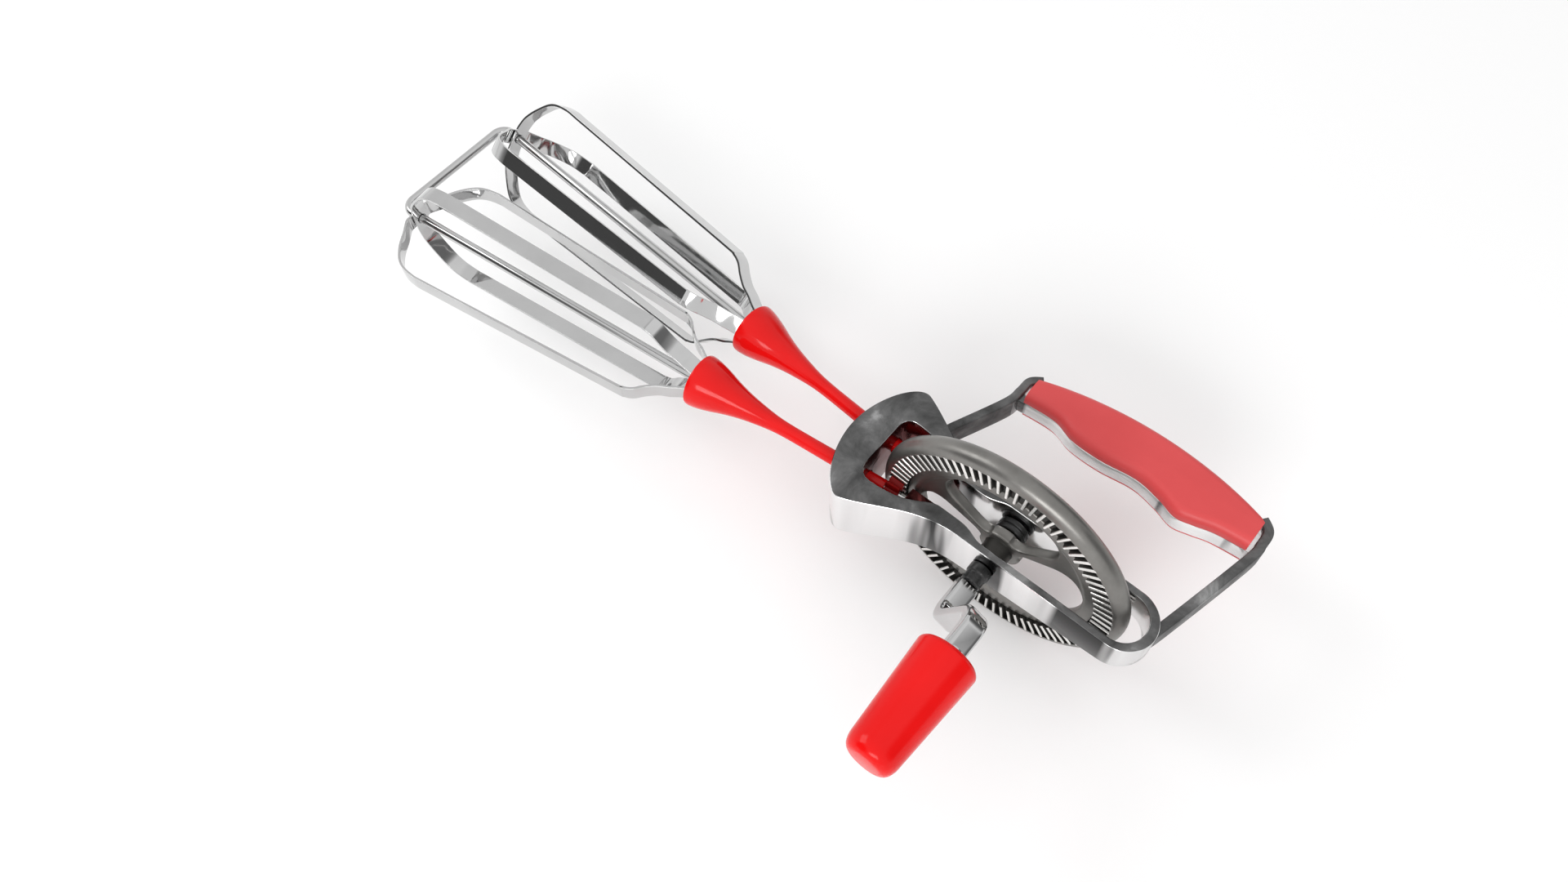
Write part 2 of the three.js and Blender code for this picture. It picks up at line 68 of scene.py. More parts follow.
# ---- lines ---------------------------------------------------------------------------------
def spline(pairs, divisions):
    """Uniform Catmull-Rom line through the points."""
    last = len(pairs) - 1
    out = []
    for i in range(divisions + 1):
        p = last * i / divisions
        k = min(int(p), last - 1)
        t = p - k
        q = [pairs[max(k - 1, 0)], pairs[k], pairs[k + 1], pairs[min(k + 2, last)]]
        point = []
        for axis in range(2):
            a, b, c, d = (v[axis] for v in q)
            v0, v1 = (c - a) / 2, (d - b) / 2
            point.append((2 * b - 2 * c + v0 + v1) * t ** 3
                         + (-3 * b + 3 * c - 2 * v0 - v1) * t ** 2 + v0 * t + b)
        out.append(tuple(point))
    return out


def bezier(points, steps, skip_first=True):
    """A quadratic or cubic run, without its first point unless asked."""
    out = []
    for i in range(1 if skip_first else 0, steps + 1):
        level = [Vector(p) for p in points]
        t = i / steps
        while len(level) > 1:
            level = [a.lerp(b, t) for a, b in zip(level, level[1:])]
        out.append(tuple(level[0]))
    return out


def arc(cx, cy, r, a0, a1, steps):
    turn = [math.radians(a0 + (a1 - a0) * i / steps) for i in range(steps + 1)]
    return [(cx + r * math.cos(a), cy + r * math.sin(a)) for a in turn]


def clean(loop, near=1e-3):
    out = []
    for p in loop:
        if not out or (Vector(p) - Vector(out[-1])).length > near:
            out.append(p)
    if (Vector(out[0]) - Vector(out[-1])).length <= near:
        out.pop()
    return out


def area(loop):
    return sum(a[0] * b[1] - b[0] * a[1] for a, b in zip(loop, loop[1:] + loop[:1])) / 2


def wound(loop, left=True):
    """The loop with its material on the left: outlines anticlockwise, holes clockwise."""
    loop = clean(loop)
    return loop if (area(loop) > 0) == left else loop[::-1]


def inset(loop, distance):
    """Moves a loop towards its material."""
    if not distance:
        return loop
    out = []
    n = len(loop)
    for i in range(n):
        before, here, after = Vector(loop[i - 1]), Vector(loop[i]), Vector(loop[(i + 1) % n])
        a, b = (here - before).normalized(), (after - here).normalized()
        na, nb = Vector((-a.y, a.x)), Vector((-b.y, b.x))
        mid = na + nb
        if mid.length < 1e-6:
            mid = na
        mid.normalize()
        out.append(tuple(here + mid * (distance / max(mid.dot(na), 0.35))))
    return out


def ribbon(points, thickness):
    """The outline of a strip of even thickness along a line of points."""
    left, right = [], []
    last = len(points) - 1
    for i, point in enumerate(points):
        along = (Vector(points[min(i + 1, last)]) - Vector(points[max(i - 1, 0)])).normalized()
        side = Vector((-along.y, along.x)) * (thickness / 2)
        left.append(tuple(Vector(point) + side))
        right.append(tuple(Vector(point) - side))
    return left + right[::-1]


def fillet(points, radius, steps, closed=False):
    """Rounds the corners of a profile."""
    out = []
    n = len(points)
    for i, p in enumerate(points):
        if not closed and i in (0, n - 1):
            out.append(tuple(p))
            continue
        here = Vector(p)
        a, b = Vector(points[i - 1]) - here, Vector(points[(i + 1) % n]) - here
        if a.length < 1e-6 or b.length < 1e-6:
            continue
        reach = min(radius, a.length * 0.45, b.length * 0.45)
        turn = math.pi - a.angle(b)
        if turn < math.radians(12):
            out.append(tuple(p))
            continue
        start, end = here + a.normalized() * reach, here + b.normalized() * reach
        out += bezier([start, here, end], steps, skip_first=False)
    return out


# ---- solids --------------------------------------------------------------------------------
def mesh_object(name, verts, faces):
    mesh = bpy.data.meshes.new(name)
    mesh.from_pydata([tuple(v) for v in verts], [], faces)
    bm = bmesh.new()
    bm.from_mesh(mesh)
    bmesh.ops.remove_doubles(bm, verts=bm.verts, dist=1e-4)
    bmesh.ops.dissolve_degenerate(bm, edges=bm.edges, dist=1e-5)
    bmesh.ops.recalc_face_normals(bm, faces=bm.faces)
    bm.to_mesh(mesh)
    bm.free()
    obj = bpy.data.objects.new(name, mesh)
    bpy.context.scene.collection.objects.link(obj)
    return obj


def band(a, b, n):
    """Faces between two closed rings of n points that start at a and at b."""
    return [(a + i, a + (i + 1) % n, b + (i + 1) % n, b + i) for i in range(n)]


def stacked(name, rings):
    """A solid through closed rings, each of as many points, with its ends closed."""
    n = len(rings[0])
    last = (len(rings) - 1) * n
    faces = [face for start in range(0, last, n) for face in band(start, start + n, n)]
    faces += [tuple(range(n)), tuple(range(last, last + n))]
    return mesh_object(name, [point for ring in rings for point in ring], faces)


def plate(name, loops, levels, height):
    """Stacked copies of an outline and its holes. A level is (side, drop below the surface, inset)."""
    verts, faces, starts = [], [], []
    for order, loop in enumerate(loops):
        loop = wound(loop, order == 0)
        base, n = len(verts), len(loop)
        starts.append((base, n))
        for side, drop, margin in levels:
            verts += [(x, y, side * (height(x) - drop)) for x, y in inset(loop, margin)]
        for k in range(len(levels) - 1):
            faces += band(base + k * n, base + (k + 1) * n, n)
    for k in (0, len(levels) - 1):
        rings, index = [], []
        for start, n in starts:
            ids = list(range(start + k * n, start + (k + 1) * n))
            rings.append([Vector((verts[i][0], verts[i][1], 0)) for i in ids])
            index += ids
        for tri in geometry.tessellate_polygon(rings):
            faces.append(tuple(index[i] for i in tri))
    return mesh_object(name, verts, faces)


def cutter(outline):
    """A plate with square edges, taller than the casting and the grip."""
    return plate("cutter", [outline], [(-1, 0, 0), (1, 0, 0)], lambda x: 20)


def quarter(radius, steps):
    """Pairs of drop and inset round one edge, from its wall to its surface."""
    turn = [math.pi / 2 * k / steps for k in range(steps + 1)]
    return [(radius * (1 - math.sin(a)), radius * (1 - math.cos(a))) for a in turn]


def rounded(radius, steps):
    """Levels of a plate with both its edges rounded."""
    edge = quarter(radius, steps)
    return [(-1, *level) for level in edge[::-1]] + [(1, *level) for level in edge]


def lathe(name, profile, segments, axis="Y"):
    """Turned about Y, or about X, from pairs of radius and height."""
    verts, faces = [], []
    n = len(profile)
    for s in range(segments):
        a = 2 * math.pi * s / segments
        for r, h in profile:
            u, v = r * math.cos(a), r * math.sin(a)
            verts.append((u, h, v) if axis == "Y" else (h, u, v))
    for s in range(segments):
        a, b = s * n, (s + 1) % segments * n
        for i in range(n - 1):
            faces.append((a + i, b + i, b + i + 1, a + i + 1))
    return mesh_object(name, verts, faces)


def bent_line(corners, bend, steps):
    """Points and headings of a rod with round bends."""
    corners = [Vector(c) for c in corners]
    head = [(b - a).normalized() for a, b in zip(corners, corners[1:])]
    out = [(corners[0], head[0])]
    for i in range(1, len(corners) - 1):
        into, away = head[i - 1], head[i]
        turn = into.angle(away)
        start = corners[i] - into * bend * math.tan(turn / 2)
        inward = (away - into * away.dot(into)).normalized()
        for k in range(steps + 1):
            a = turn * k / steps
            point = start + into * bend * math.sin(a) + inward * bend * (1 - math.cos(a))
            out.append((point, into * math.cos(a) + inward * math.sin(a)))
    out.append((corners[-1], head[-1]))
    return out


def rod(name, line, section, normal):
    """A rod of any section along a flat line, with eased ends. normal is square to the line's plane."""
    ease, end_scale = 0.4, 1 - 0.12
    (first, first_head), (last, last_head) = line[0], line[-1]
    stations = [(first, first_head, end_scale), (first + first_head * ease, first_head, 1)]
    stations += [(point, heading, 1) for point, heading in line[1:-1]]
    stations += [(last - last_head * ease, last_head, 1), (last, last_head, end_scale)]
    up = Vector(normal).normalized()
    rings = []
    for point, heading, scale in stations:
        side = up.cross(heading).normalized()
        rings.append([point + (side * across + up * over) * scale for across, over in section])
    return stacked(name, rings)


def headed(points):
    """Points of a flat line, each with the mean heading of the runs beside it."""
    flat = [Vector((x, y, 0)) for x, y in points]
    out = []
    for before, here, after in zip(flat[:1] + flat, flat, flat[1:] + flat[-1:]):
        out.append((here, ((here - before).normalized() + (after - here).normalized()).normalized()))
    return out


def round_section(radius, segments):
    return arc(0, 0, radius, 0, 360 - 360 / segments, segments - 1)


def bar_section(thick, width, corner):
    x, y = thick / 2, width / 2
    return fillet([(-x, -y), (x, -y), (x, y), (-x, y)], corner, 8, closed=True)


def moved(obj, matrix):
    obj.data.transform(matrix)
    return obj


def merged(name, objects):
    """One object from several, without joining their surfaces."""
    verts, faces = [], []
    for o in objects:
        base = len(verts)
        verts += [v.co.copy() for v in o.data.vertices]
        faces += [tuple(base + i for i in p.vertices) for p in o.data.polygons]
        bpy.data.objects.remove(o)
    mesh = bpy.data.meshes.new(name)
    mesh.from_pydata([tuple(v) for v in verts], [], faces)
    obj = bpy.data.objects.new(name, mesh)
    bpy.context.scene.collection.objects.link(obj)
    return obj


def carve(obj, tools, operation="DIFFERENCE"):
    """Cuts the tools away from obj, or joins them on, and removes them."""
    for tool in tools:
        step = obj.modifiers.new("carve", "BOOLEAN")
        step.operation = operation
        step.solver = "MANIFOLD"
        step.object = tool
    shape = obj.evaluated_get(bpy.context.evaluated_depsgraph_get())
    mesh = bpy.data.meshes.new_from_object(shape)
    obj.modifiers.clear()
    obj.data = mesh
    for tool in tools:
        bpy.data.objects.remove(tool)
    return obj


def cylinder(radius, a, b, axis="Y"):
    return lathe("tool", [(0, a), (radius, a), (radius, b), (0, b)], 48, axis)


def collar(name, profile):
    """A round piece about the axle, from the closed outline of its section."""
    loop = fillet(profile, 0.2, 3, closed=True)
    return lathe(name, loop + loop[:1], 64)


def on_axis(side):
    """From the wheel's centre to a beater's own axis."""
    return Matrix.Translation((0, side * OFFSET, 0)) @ Matrix.Rotation(side * TILT, 4, "Z")


# ---- materials -----------------------------------------------------------------------------
class Nodes:
    """A material with a Principled shader, and short ways to feed it from noise."""

    def __init__(self, name):
        self.material = bpy.data.materials.new(name)
        self.material.use_nodes = True
        self.tree = self.material.node_tree
        self.shader = self.tree.nodes["Principled BSDF"]
        self.coords = self.tree.nodes.new("ShaderNodeTexCoord").outputs["Object"]

    def add(self, kind, **values):
        node = self.tree.nodes.new(kind)
        for key, value in values.items():
            if key in node.inputs:
                node.inputs[key].default_value = value
            else:
                setattr(node, key, value)
        return node

    def link(self, a, b):
        self.tree.links.new(a, b)

    def stretched(self, scale):
        node = self.add("ShaderNodeMapping")
        node.inputs["Scale"].default_value = scale
        self.link(self.coords, node.inputs["Vector"])
        return node.outputs["Vector"]

    def noise(self, scale, detail, roughness=0.55, distortion=0.0, vector=None):
        node = self.add("ShaderNodeTexNoise", Scale=scale, Detail=detail,
                        Roughness=roughness, Distortion=distortion)
        self.link(vector or self.coords, node.inputs["Vector"])
        return node.outputs["Fac"]

    def ramp(self, fac, stops):
        node = self.add("ShaderNodeValToRGB")
        ramp = node.color_ramp
        while len(ramp.elements) < len(stops):
            ramp.elements.new(0.5)
        for element, (at, colour) in zip(ramp.elements, stops):
            element.position = at
            value = colour if hasattr(colour, "__len__") else (colour,) * 3
            element.color = (*value, 1)
        self.link(fac, node.inputs["Fac"])
        return node.outputs["Color"]

    def bump(self, fac, strength, distance, after=None):
        node = self.add("ShaderNodeBump", Strength=strength, Distance=distance)
        self.link(fac, node.inputs["Height"])
        if after:
            self.link(after, node.inputs["Normal"])
        return node.outputs["Normal"]

    def put(self, socket, value):
        if hasattr(value, "node"):
            self.link(value, self.shader.inputs[socket])
        else:
            self.shader.inputs[socket].default_value = value


def cast_metal():
    n = Nodes("cast_top")
    broad = n.noise(75, 7, 0.62, 0.5)
    n.put("Base Color", n.ramp(broad, [(0.32, 0.05), (0.46, 0.1), (0.58, 0.155), (0.72, 0.36)]))
    n.put("Metallic", 0.55)
    n.put("Roughness", n.ramp(n.noise(120, 5), [(0.3, 0.42), (0.7, 0.62)]))
    grain = n.bump(n.noise(900, 6, 0.6), 0.25, 0.0002)
    n.put("Normal", n.bump(n.noise(70, 4, 0.6, 0.4), 0.5, 0.0008, grain))
    return n.material


def polished_edge(name, stops, metallic, scale=42):
    """Bright metal with dark upright streaks across the wall, which are painted reflections of dark bands.
    """
    n = Nodes(name)
    painted_reflection_streaks = n.noise(scale, 3, 0.5, 0.4, n.stretched((1.0, 1.0, 0.08)))
    n.put("Base Color", n.ramp(painted_reflection_streaks, stops))
    n.put("Metallic", metallic)
    n.put("Roughness", n.ramp(n.noise(90, 5), [(0.35, 0.1), (0.7, 0.22)]))
    n.put("Normal", n.bump(n.noise(45, 3, 0.5, 0.3), 0.15, 0.0006))
    return n.material


def chrome():
    n = Nodes("chrome")
    n.put("Base Color", n.ramp(n.noise(40, 4), [(0.3, 0.52), (0.7, 0.6)]))
    n.put("Metallic", 1.0)
    n.put("Roughness", n.ramp(n.noise(160, 6, 0.7), [(0.35, 0.04), (0.75, 0.11)]))
    n.put("Normal", n.bump(n.noise(70, 3), 0.06, 0.0006))
    return n.material


def wheel_metal(name, dark, bright, rough):
    n = Nodes(name)
    n.put("Base Color", n.ramp(n.noise(80, 6, 0.6), [(0.3, dark), (0.7, bright)]))
    n.put("Metallic", 0.85)
    n.put("Roughness", n.ramp(n.noise(150, 5), [(0.3, rough), (0.7, rough + 0.1)]))
    n.put("Normal", n.bump(n.noise(500, 6, 0.65), 0.18, 0.0002))
    return n.material


def black_steel():
    n = Nodes("black_steel")
    n.put("Base Color", n.ramp(n.noise(200, 5), [(0.3, 0.012), (0.75, 0.045)]))
    n.put("Metallic", 0.4)
    n.put("Roughness", n.ramp(n.noise(240, 5), [(0.3, 0.2), (0.7, 0.38)]))
    n.put("Normal", n.bump(n.noise(700, 4), 0.1, 0.0001))
    return n.material


def gloss_red(name, dark, bright, rough, coat):
    n = Nodes(name)
    n.put("Base Color", n.ramp(n.noise(35, 4, 0.5), [(0.3, dark), (0.7, bright)]))
    n.put("Roughness", n.ramp(n.noise(110, 5), [(0.3, rough), (0.75, rough + 0.08)]))
    n.put("Specular IOR Level", 0.14)
    n.put("Coat Weight", coat)
    n.put("Coat Roughness", 0.05)
    n.put("Normal", n.bump(n.noise(60, 2), 0.06, 0.0006))
    return n.material


def coral_scale():
    n = Nodes("coral_scale")
    dull, bright = (0.63, 0.06, 0.062), (0.7, 0.078, 0.081)
    n.put("Base Color", n.ramp(n.noise(28, 5, 0.55), [(0.3, dull), (0.7, bright)]))
    n.put("Roughness", n.ramp(n.noise(140, 5), [(0.3, 0.36), (0.75, 0.46)]))
    n.put("Specular IOR Level", 0.35)
    n.put("Normal", n.bump(n.noise(1100, 4), 0.08, 0.0001))
    return n.material


CAST, CHROME, BLACK = cast_metal(), chrome(), black_steel()
# The casting's walls: bright metal whose dark upright streaks are painted reflections.
EDGE = polished_edge("polished_edge", [(0.45, 0.04), (0.475, 0.3), (0.505, 0.72), (0.6, 0.86)], 1.0)
# The grip's middle strip: near white with little metal, a painted reflection of the floor; its few dark
# streaks are painted reflections too.
STRIP_PAINTED_REFLECTION = polished_edge("strip_painted_reflection", [(0.33, 0.12), (0.37, 0.8), (0.6, 0.95)], 0.6, 60)
# The pocket's walls and lugs: the casting's metal painted dark as shade in the recess, and red as a painted
# reflection of the red pinions and sleeves.
POCKET_PAINTED_SHADE = polished_edge("pocket_wall_painted_shade", [(0.35, (0.06, 0.015, 0.015)), (0.65, (0.2, 0.05, 0.05))], 0.9)
WHEEL = wheel_metal("wheel_metal", (0.17, 0.165, 0.155), (0.25, 0.243, 0.23), 0.3)
# Tooth crests: the wheel metal painted near white, a painted highlight.
CREST_PAINTED_HIGHLIGHT = wheel_metal("tooth_crest_painted_highlight", (0.8, 0.79, 0.76), (0.92, 0.91, 0.89), 0.16)
# Tooth flanks and the gaps between teeth: the wheel metal painted near black as shade; the hub is also this
# dark.
GAP_SHADE_AND_DARK_HUB = wheel_metal("tooth_gap_shade_and_dark_hub", (0.03, 0.029, 0.027), (0.07, 0.067, 0.062), 0.4)
KNOB = gloss_red("knob_red", (0.72, 0.004, 0.004), (0.8, 0.007, 0.007), 0.14, 0.12)
SLEEVE = gloss_red("sleeve_red", (0.66, 0.004, 0.004), (0.76, 0.007, 0.007), 0.12, 0.2)
# The pinions: the sleeves' red painted much darker, as shade in the pocket.
PINION_PAINTED_SHADE = gloss_red("pinion_red", (0.2, 0.004, 0.004), (0.32, 0.006, 0.006), 0.3, 0.05)
CORAL = coral_scale()


def place(obj, name, body, node, materials, pick=None, smooth=32):
    """Moves a finished shape into the row frame and hands it to its body. pick gives a face's material."""
    bm = bmesh.new()
    bm.from_mesh(obj.data)
    bmesh.ops.remove_doubles(bm, verts=bm.verts, dist=2e-4)
    bmesh.ops.recalc_face_normals(bm, faces=bm.faces)
    bm.to_mesh(obj.data)
    bm.free()
    obj.name = obj.data.name = name
    obj.data.materials.clear()
    for material in materials:
        obj.data.materials.append(material)
    for face in obj.data.polygons:
        face.use_smooth = True
        face.material_index = pick(face) if pick else 0
    obj.data.set_sharp_from_angle(angle=math.radians(smooth))
    obj.data.transform(TO_ROW)
    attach(obj, body)
    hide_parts(node)
    return obj


# ---- frame casting -------------------------------------------------------------------------
def frame_outline(margin=0.0):
    half, shoulder, nose = BAR_HALF + margin, 23.3 + margin, NOSE_X + margin
    lower = [(TAIL_X, -half), (10, -half)]
    lower += bezier([(10, -half), (25, -half), (34, -19 - margin), (45, -shoulder)], 26)
    lower += bezier([(45, -shoulder), (50.5, -25.4 - margin), (nose, -12), (nose, 0)], 26)
    upper = [(x, -y) for x, y in lower[::-1]][1:]
    return lower + upper + arc(TAIL_X, 0, half, 90, 270, 32)


def slot_outline():
    """The long slot for the wheel, which widens into the pocket for the pinions."""
    half, neck = 7.9, 5.7
    lower = arc(-41.4, 0, half, 180, 270, 16) + [(3, -half)]
    lower += bezier([(3, -half), (7, -half), (7.5, -neck), (13, -neck)], 12) + [(20, -neck)]
    lower += bezier([(20, -neck), (24, -neck), (27, -10.5), (34.5, -11.8)], 14)
    lower += bezier([(34.5, -11.8), (38.5, -12.6), (42, -12.6)], 8)
    lower += bezier([(42, -12.6), (45.8, -12.6), (46.4, -8.5)], 10)
    return lower + [(x, -y) for x, y in lower[::-1]]


def frame_half(x):
    tail_end = TAIL_X - BAR_HALF
    return HALF_TAIL + (HALF_NOSE - HALF_TAIL) * (x - tail_end) / (NOSE_X - tail_end)


def rod_lug(side):
    """A block in the pocket that holds one inner end of the U rod."""
    x0, x1, y0, y1 = 22.5, 32, side * 2.9, side * 12
    return plate("lug", [[(x0, y0), (x1, y0), (x1, y1), (x0, y1)]], rounded(0.3, 2), lambda x: 3.0)


def build_frame():
    body = plate("frame", [frame_outline(), slot_outline()], rounded(0.45, 3), frame_half)
    carve(body, [rod_lug(side) for side in (-1, 1)], "UNION")
    bores = [cylinder(AXLE_R + GAP, -30, 30)]
    for side in (-1, 1):
        bores.append(moved(cylinder(NECK_R + GAP, 44, 66, "X"), on_axis(side)))
        bores.append(moved(cylinder(ROD_R + GAP, 24.7, 36, "X"), on_axis(side)))
    carve(body, bores)
    top, wall, pocket = range(3)

    def pick(face):
        c = face.center
        # The pocket's walls lie inside this line and the casting's outer walls outside it.
        inside = abs(c.y) < min(13, 9.5 + 0.7 * max(0, c.x - 27))
        if 22 < c.x < 50 and inside and (abs(face.normal.z) < 0.5 or abs(c.z) < 3.5):
            # Faces in the pocket take the painted shade.
            return pocket
        return top if abs(face.normal.z) > 0.8 else wall
    place(body, "casting", "frame", "frame_casting", [CAST, EDGE, POCKET_PAINTED_SHADE], pick)


# ---- D handle ------------------------------------------------------------------------------
def grip_outline(front, rear, set_back=0.0):
    """The palm's bow, and the fingers' hollows from rear to front."""
    end_y, palm_y = -52.4, -67.6
    bow = bezier([(front, end_y), ((front + rear) / 2, palm_y), (rear, end_y)], 48, skip_first=False)
    hollows = spline([(rear, -42.8), (-49, -41.8), (-42, -40.0), (-36, -38.9), (-29, -41.1), (-20, -42.8),
                      (-8, -41.6), (3, -42.1), (12, -44.8), (front, -44.1)], 72)
    return bow + [(x, y - set_back) for x, y in hollows]


def arm_outlines(margin):
    """The front and the rear arm of the D, each from the casting out to the grip."""
    front = [(38.5, -14), (35.8, -21), (27.3, -40.5), (26.1, -47), (25.6, -52), (22.2, -54.9)]
    rear = [(-50, 0.5), (-52.6, -8), (-60.4, -40), (-61.1, -47), (-60.6, -52), (-57.2, -54.9)]
    return [ribbon(spline(line, 60), width + 2 * margin) for line, width in ((front, 2.9), (rear, 3.2))]


def build_handle():
    front, rear, core_half, arm_half = 25.8, -60.2, 3.0, 4.5
    core = plate("core", [grip_outline(front, rear)], rounded(0.3, 2), lambda x: core_half)
    arms = [plate("arm", [outline], rounded(0.5, 3), lambda x: arm_half) for outline in arm_outlines(0)]
    carve(core, arms, "UNION")
    carve(core, [cutter(frame_outline(0.12))])
    cast, strip = range(2)

    def pick(face):
        c = face.center
        # The strip between the scales takes the colour painted as a reflection of the floor.
        between_scales = -60.0 < c.x < 25.4 and c.y < -38 and abs(c.z) < 3.2
        return strip if between_scales else cast
    place(core, "handle", "frame", "handle_bow", [CAST, STRIP_PAINTED_REFLECTION], pick)
    for side, label, set_back in ((1, "upper", 0.0), (-1, "lower", 1.2)):
        build_scale(side, label, set_back)


def build_scale(side, label, set_back):
    levels = [(side, SCALE_OUT - SCALE_IN, 0.0)] + [(side, *level) for level in quarter(GRIP_ROUND, 8)]
    scale = plate("scale", [grip_outline(27.2, -62.6, set_back)], levels, lambda x: SCALE_OUT)
    carve(scale, [cutter(grip_outline(22.9, -58.3, set_back - 1))], "INTERSECT")
    carve(scale, [cutter(outline) for outline in arm_outlines(GAP)])
    place(scale, f"grip_{label}", "frame", f"grip_scale_{label}", [CORAL], smooth=40)


# ---- drive wheel ---------------------------------------------------------------------------
def wheel_window():
    """The outline of a window between two spokes: a sector with rounded corners."""
    a0, a1 = math.radians(SPOKE_HALF_ANGLE), math.radians(120 - SPOKE_HALF_ANGLE)
    straight_in, straight_out = 12, 20
    rim_corner, hub_corner, hub_pull = 0.38, 0.5, WINDOW_IN - 1.4

    def at(r, a):
        return (r * math.cos(a), r * math.sin(a))

    def corner(*places, steps):
        return bezier([at(r, a) for r, a in places], steps)

    line = [at(straight_in, a0), at(straight_out, a0)]
    line += corner((straight_out, a0), (WINDOW_OUT, a0), (WINDOW_OUT, a0 + rim_corner), steps=10)
    line += [at(WINDOW_OUT, a0 + rim_corner + (a1 - a0 - 2 * rim_corner) * k / 36) for k in range(1, 37)]
    line += corner((WINDOW_OUT, a1 - rim_corner), (WINDOW_OUT, a1), (straight_out, a1), steps=10)
    line += [at(straight_in, a1)]
    line += corner((straight_in, a1), (hub_pull, a1), (WINDOW_IN, a1 - hub_corner), steps=8)
    line += [at(WINDOW_IN, a1 - hub_corner - (a1 - a0 - 2 * hub_corner) * k / 12) for k in range(1, 13)]
    line += corner((WINDOW_IN, a0 + hub_corner), (hub_pull, a0), (straight_in, a0), steps=8)
    return line


def window_cutter(turn):
    """A window's cutter. It is wider at both faces of the web, which eases the spokes' edges."""
    flare = [(-1, -4, -0.75), (-1, 0, -0.55), (-1, 0.25, -0.2), (-1, 0.7, 0)]
    flare += [(1, drop, margin) for _, drop, margin in flare[::-1]]
    cut = plate("window", [wheel_window()], flare, lambda x: WEB_HALF)
    return moved(cut, Matrix.Rotation(math.pi / 2, 4, "X") @ Matrix.Rotation(math.radians(turn), 4, "Z"))


def wheel_tooth(turn, flip):
    """A crown tooth with a crest, wider away from the centre."""
    foot, shoulder, crest = 1.5, RIM_HALF - 0.25, RIM_HALF
    half = [(0.98, foot), (0.5, shoulder), (0.34, crest)]
    section = [(-z, y) for z, y in half] + half[::-1]
    rings = [[(x, y, z * x / PITCH_R) for z, y in section] for x in (TOOTH_R, FACE_R + 0.3)]
    tooth = stacked("tooth", rings)
    flipped = Matrix.Rotation(math.pi, 4, "X") if flip else Matrix.Identity(4)
    return moved(tooth, Matrix.Rotation(turn, 4, "Y") @ flipped)


def build_wheel():
    bore, ease = AXLE_R + GAP, 0.35
    face = [(HUB_R, WEB_HALF), (WINDOW_OUT, WEB_HALF), (WINDOW_OUT + 1.2, BAND_HALF),
            (TOOTH_R - 0.2, BAND_HALF), (TOOTH_R, FLOOR_HALF), (FACE_R, FLOOR_HALF)]
    far = [(bore, HUB_FROM), (HUB_R, HUB_FROM)] + [(r, -y) for r, y in face]
    rim = [(FACE_R + (RIM_R - FACE_R) * math.cos(a), RIM_HALF * math.sin(a))
           for a in (-math.pi / 2 + math.pi * i / 20 for i in range(21))]
    near = face[::-1] + [(HUB_R, HUB_TO), (bore, HUB_TO), (bore, HUB_FROM)]
    wheel = lathe("wheel", fillet(far, ease, 3) + rim + fillet(near, ease, 3), 240)
    teeth = []
    for i in range(TEETH):
        turn = 2 * math.pi * (i + 0.5) / TEETH
        teeth += [wheel_tooth(turn, False), wheel_tooth(turn, True)]
    carve(wheel, [merged("teeth", teeth)], "UNION")
    carve(wheel, [window_cutter(25 + 120 * i) for i in range(3)])
    plain, crest, root = range(3)

    def pick(face):
        c = face.center
        r = math.hypot(c.x, c.z)
        # The hub is dark; the same colour paints shade on the teeth's flanks and gaps.
        if r < HUB_R + 0.1:
            return root
        if not TOOTH_R - 0.1 < r < FACE_R + 0.2:
            return plain
        # In the teeth's band, crests take the painted highlight, and flanks and gaps take the painted
        # shade.
        return crest if abs(c.y) > RIM_HALF - 0.3 else root
    place(wheel, "wheel", "drive", "drive_wheel", [WHEEL, CREST_PAINTED_HIGHLIGHT, GAP_SHADE_AND_DARK_HUB], pick, 28)


def build_axle():
    bore, head, end = AXLE_R + GAP, -10.7, 17.3
    grooved = [(2.6, -7.3), (4.8, -7.3), (5.2, -6.8), (5.2, -5.6), (4.6, -5.2), (5.2, -4.8),
               (5.2, -3.7), (4.8, -3.2), (2.6, -3.2)]
    place(collar("collar", grooved), "collar", "drive", "hub_collar", [BLACK])
    pin = [(0, -12.3), (2.6, -12.3), (3.4, -11.7), (3.4, head), (AXLE_R, head), (AXLE_R, end), (0, end)]
    place(lathe("pin", fillet(pin, 0.35, 3), 56), "axle", "drive", "axle_pin", [BLACK])
    stepped = [(bore, 10.7), (3.7, 10.7), (3.7, 13.4), (3.3, 13.9), (3.3, 16.8), (2.9, end), (bore, end)]
    place(collar("socket", stepped), "socket", "drive", "crank_socket", [BLACK])


def build_crank():
    start, run, shoulder, root, tip = 17.6, 32.6, 47.2, 45.2, 78
    bend, thick, wide, corner = 6.4, 4.4, 7.3, 1.5
    line = bent_line([(0, start, 0), (0, run, 0), (ARM_X, run, ARM_Z), (ARM_X, shoulder, ARM_Z)], bend, 22)
    bar = rod("crank", line, bar_section(thick, wide, corner), (ARM_Z, 0, -ARM_X))
    ease = 0.3
    spindle = [(0, root), (SPINDLE_R, root), (SPINDLE_R, tip - ease), (SPINDLE_R - ease, tip), (0, tip)]
    carve(bar, [moved(lathe("spindle", spindle, 48), Matrix.Translation((ARM_X, 0, ARM_Z)))], "UNION")
    place(bar, "crank", "drive", "crank_rod", [CHROME])


